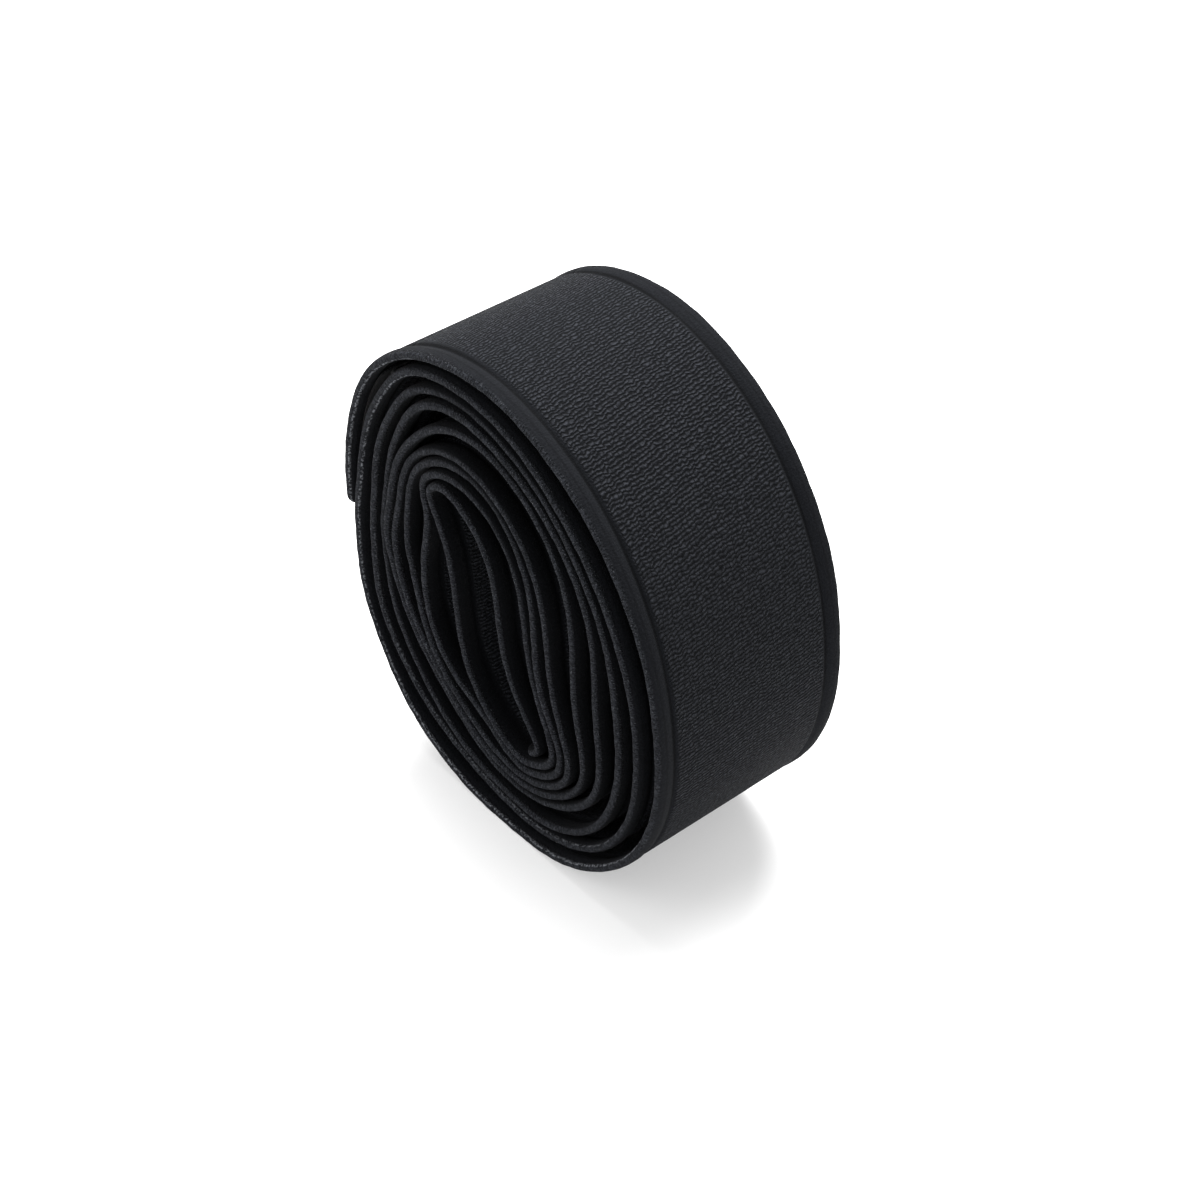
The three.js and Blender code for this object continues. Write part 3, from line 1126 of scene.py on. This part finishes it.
@dataclass
class Closure:
    """The hook-and-loop closure: two patches face to face, and the thread that sews them."""

    winding: Winding
    tailor: Tailor
    seam_inset: float = 2.0
    seam_half: float = 19.2
    hem_turning: float = 175.0
    hem_half: float = 22.4
    hem_heights: tuple[float, float] = (0.98, -0.86)

    def build(self, backing: dict[str, bpy.types.Material], fibre: dict[str, bpy.types.Material],
              thread: bpy.types.Material) -> tuple[list[bpy.types.Object], list[bpy.types.Object]]:
        """Makes both patches with their seams, and the tail's hem.

        Args:
            backing: The woven backing's finish for "loop" and "hook".
            fibre: The pile's and the hooks' finish for "loop" and "hook".
            thread: The sewing thread.

        Returns:
            The pieces on the roll, and the pieces on the tail.
        """
        wind = self.winding
        soft = Patch(wind, self.tailor, wind.turns - 1, Face.OUTER)
        hook = Patch(wind, self.tailor, wind.turns, Face.INNER)
        loop_patch = soft.backing("loop_patch_backing", backing["loop"])
        pile = soft.pile("loop_patch_pile", fibre["loop"])
        hook_patch = hook.backing("hook_patch_backing", backing["hook"])
        hooks = hook.hooks("hook_patch_hooks", fibre["hook"])
        on_strap = self.hem_heights[0]
        loop_seam = self._seam("loop_patch_stitches", soft, (soft.high + 0.06,), thread)
        hook_seam = self._seam("hook_patch_stitches", hook, (-hook.high - 0.02, on_strap), thread)
        hem_at = wind.along(self.hem_turning + 360.0 * wind.turns)
        rows = [Walk((hem_at, -self.hem_half), (hem_at, self.hem_half), height)
                for height in self.hem_heights]
        hem = self.tailor.stitches("tail_hem_stitches", rows, thread)
        on_roll, on_tail = [loop_patch, pile, loop_seam], [hook_patch, hooks, hook_seam, hem]
        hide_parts("loop_patch")
        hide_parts("hook_patch")
        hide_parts("loop_patch_seam")
        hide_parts("hook_patch_seam")
        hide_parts("tail_hem_seam")
        for piece in on_roll:
            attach(piece, Body.ROLL.value)
        for piece in on_tail:
            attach(piece, Body.TAIL.value)
        return on_roll, on_tail

    def _seam(self, name: str, patch: Patch, heights: tuple[float, ...],
              thread: bpy.types.Material) -> bpy.types.Object:
        """Stitches round a patch, inside its edge, at each of the heights.

        Args:
            name: The piece's name.
            patch: The patch that is sewn on.
            heights: Heights of the rows above the strap's middle.
            thread: The sewing thread.

        Returns:
            The seam as one object.
        """
        low, high = patch.along
        sewn = low + self.seam_inset, high - self.seam_inset
        walks = [walk for height in heights for walk in box_walks(sewn, self.seam_half, height)]
        return self.tailor.stitches(name, walks, thread)


@dataclass
class ThumbLoop:
    """The loop of narrow tape at the core end, with the box stitch that holds its foot."""

    winding: Winding
    tailor: Tailor
    width: float = 14.0
    thickness: float = 1.1
    depth: float = 4.6
    clear: float = 0.25
    turning: tuple[float, float] = (-36.0, 26.0)
    degrees_per_mm: float = 2.0
    squareness: float = 0.55
    seam: tuple[float, float] = (-30.0, -14.0)
    seam_half: float = 4.6
    hem_at: float = -58.0
    hem_half: float = 22.4
    stitch_height: float = 0.98
    ring_steps: int = 120
    soft_edge: float = 0.3

    def _ring(self, inset: Array, turn: Array) -> tuple[Array, Array]:
        """Places along and heights of a squared ring that lies along the core's wall.

        turning = mid + half length x squared cosine, and height = -(wall + half depth x squared
        sine), both drawn in by the inset.

        Args:
            inset: How far inside the ring's outside each point lies.
            turn: Angle of each point about the ring's middle, in radians.

        Returns:
            Places along the strap, and heights above its middle.
        """
        low, high = self.turning
        half = (high - low) / 2 - inset * self.degrees_per_mm
        turning = (low + high) / 2 + half * squared(np.cos(turn), self.squareness)
        rise = (self.depth / 2 - inset) * squared(np.sin(turn), self.squareness)
        wall = self.winding.thickness / 2 + self.clear + self.depth / 2
        along = np.interp(turning, self.winding.turning, self.winding.length)
        return along, -(wall + rise)

    def build(self, tape: bpy.types.Material, thread: bpy.types.Material) -> tuple[bpy.types.Object, list]:
        """Makes the loop, its box stitch and the core end's hem.

        Args:
            tape: The tape's finish.
            thread: The sewing thread.

        Returns:
            The loop, and the two seams on the strap.
        """
        turn = np.linspace(0, 2 * np.pi, self.ring_steps, endpoint=False)
        face = np.array([-1, -0.96, -0.6, -0.2, 0.2, 0.6, 0.96, 1])
        share = np.concatenate([face, face[::-1]])
        outside = np.where(np.abs(face) == 1, self.soft_edge, 0.0)
        depth = np.concatenate([outside, 1 - outside]) * self.thickness
        along, proud = self._ring(depth[None, :], turn[:, None])
        across = np.broadcast_to(share[None] * self.width / 2, along.shape)
        points = self.winding.place(along, across, proud)
        middle = points.mean(axis=1)
        walk = np.linalg.norm(np.diff(np.concatenate([middle, middle[:1]]), axis=0), axis=1)
        run = np.broadcast_to((np.cumsum(walk) - walk)[:, None], along.shape)
        values = {"along": run.ravel(), "across": across.ravel()}
        loop = store("thumb_loop_tape", points, [grid_faces(*along.shape, closed_rows=True)], tape, values)
        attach(loop, Body.THUMB.value)
        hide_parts("thumb_loop")
        flat = self.width * MM, float(walk.sum()) * MM
        low, high = (self.winding.along(turning) for turning in self.seam)
        box = box_walks((low, high), self.seam_half, self.stitch_height, crossed=True)
        seam = self.tailor.stitches("thumb_loop_box_stitch", box, thread)
        hem_at = self.winding.along(self.hem_at)
        row = Walk((hem_at, -self.hem_half), (hem_at, self.hem_half), -self.stitch_height)
        hem = self.tailor.stitches("core_hem_stitches", [row], thread)
        for piece, node in ((seam, "thumb_loop_seam"), (hem, "core_hem_seam")):
            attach(piece, Body.ROLL.value)
            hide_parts(node)
        return loop, [seam, hem]


@dataclass
class Studio:
    """A plain pale floor, soft light, and the camera.

    The camera's distance, shift and aim are in millimetres, and the floor and the lamps in metres.
    """

    azimuth: float = 49.49
    elevation: float = 40.0
    distance: float = 492.77
    aside: float = -3.1006
    above: float = 5.1398
    aim: tuple[float, float, float] = (-0.176, 0.0, 56.05)
    lens: float = 70.0
    roll_middle: tuple[float, float, float] = (0.0, 0.0, 0.055)
    floor_tone: float = 0.62
    floor_glow: float = 0.38
    floor_reach: float = 6.0
    floor_gap: float = 0.00005
    surround: float = 0.85

    def floor(self) -> bpy.types.Object:
        """A pale, matt floor under the roll, which glows a little to soften the shadow.

        Returns:
            The floor.
        """
        graph = Graph("pale_floor")
        graph.shader.inputs["Base Color"].default_value = (*[self.floor_tone] * 3, 1.0)
        graph.shader.inputs["Emission Color"].default_value = (1.0, 1.0, 1.0, 1.0)
        graph.shader.inputs["Emission Strength"].default_value = self.floor_glow
        graph.shader.inputs["Roughness"].default_value = 0.9
        graph.shader.inputs["Specular IOR Level"].default_value = 0.1
        mesh = bpy.data.meshes.new("floor")
        reach, level = self.floor_reach, cad_box[0][2] - self.floor_gap
        signs = ((-1, -1), (1, -1), (1, 1), (-1, 1))
        corners = [(x * reach, y * reach, level) for x, y in signs]
        mesh.from_pydata(corners, [], [(0, 1, 2, 3)])
        mesh.materials.append(graph.material)
        floor = bpy.data.objects.new("floor", mesh)
        bpy.context.scene.collection.objects.link(floor)
        return floor

    def lamp(self, name: str, at: tuple[float, float, float], size: float, power: float) -> None:
        """A square soft light that faces the roll.

        Args:
            name: Its name.
            at: Its place in metres.
            size: Its side in metres.
            power: Its power in watts.
        """
        light = bpy.data.lights.new(name, "AREA")
        light.shape = "SQUARE"
        light.size = size
        light.energy = power
        lamp = bpy.data.objects.new(name, light)
        lamp.location = at
        toward = Vector(self.roll_middle) - Vector(at)
        lamp.rotation_euler = toward.to_track_quat("-Z", "Y").to_euler()
        bpy.context.scene.collection.objects.link(lamp)

    def lights(self) -> None:
        """An even white surround, a large light overhead and a soft one on the near side."""
        world = bpy.data.worlds.new("surround")
        bpy.context.scene.world = world
        world.use_nodes = True
        world.node_tree.nodes["Background"].inputs["Color"].default_value = (1.0, 1.0, 1.0, 1.0)
        world.node_tree.nodes["Background"].inputs["Strength"].default_value = self.surround
        self.lamp("overhead", (-0.35, 0.4, 1.1), 0.9, 45.0)
        self.lamp("near_side", (-0.7, -0.8, 0.55), 0.7, 5.0)
        bpy.context.scene.view_settings.view_transform = "Standard"

    def camera(self) -> None:
        """A camera that looks down on the roll from its near right."""
        turn, lift = math.radians(self.azimuth), math.radians(self.elevation)
        right = Vector((math.cos(turn), math.sin(turn), 0.0))
        forward = Vector((-math.sin(turn) * math.cos(lift), math.cos(turn) * math.cos(lift), -math.sin(lift)))
        up = right.cross(forward)
        at = Vector(self.aim) - self.aside * right - self.above * up - self.distance * forward
        camera = bpy.data.cameras.new("camera")
        camera.lens = self.lens
        camera.sensor_width = 36.0
        seen = bpy.data.objects.new("camera", camera)
        seen.matrix_world = Matrix.Translation(at * MM) @ Matrix((right, up, -forward)).transposed().to_4x4()
        bpy.context.scene.collection.objects.link(seen)
        bpy.context.scene.camera = seen


def main() -> None:
    """Builds the studio, the strap, the closure and the thumb loop, and logs each piece's points and faces.
    """
    logging.basicConfig(level=logging.INFO, format="%(name)s: %(message)s")
    studio = Studio()
    studio.camera()
    studio.lights()
    floor = studio.floor()
    winding = Winding()
    tailor = Tailor(winding)
    dark = (0.004, 0.004, 0.0045)
    thread = Fibre("sewing_thread", (0.035, 0.036, 0.039), dark, 0.6).material()
    backing = {"loop": Backing("loop_backing", (0.022, 0.0225, 0.025), dark).material(),
               "hook": Backing("hook_backing", (0.015, 0.015, 0.016), dark).material()}
    fibre = {"loop": Fibre("loop_pile", (0.030, 0.031, 0.034), dark, 0.8, sheen=0.3).material(),
             "hook": Fibre("hook_plastic", (0.030, 0.030, 0.032), dark, 0.4, sheen=0.0).material()}
    roll, tail = Strap(winding, tailor).build(CrepeCloth().material())
    on_roll, on_tail = Closure(winding, tailor).build(backing, fibre, thread)
    loop, sewn = ThumbLoop(winding, tailor).build(TapeCloth().material(), thread)
    meet = winding.along(winding.bend_at - Strap.tail_lead)
    whole = winding.along(winding.end)
    winding.width * MM
    meet * MM
    on_roll + sewn
    winding.width * MM
    (whole - meet) * MM
    for piece in (roll, tail, *on_roll, *on_tail, loop, *sewn):
        log.info("%s: %d points, %d faces", piece.name, len(piece.data.vertices), len(piece.data.polygons))


if __name__ == "__main__":
    main()
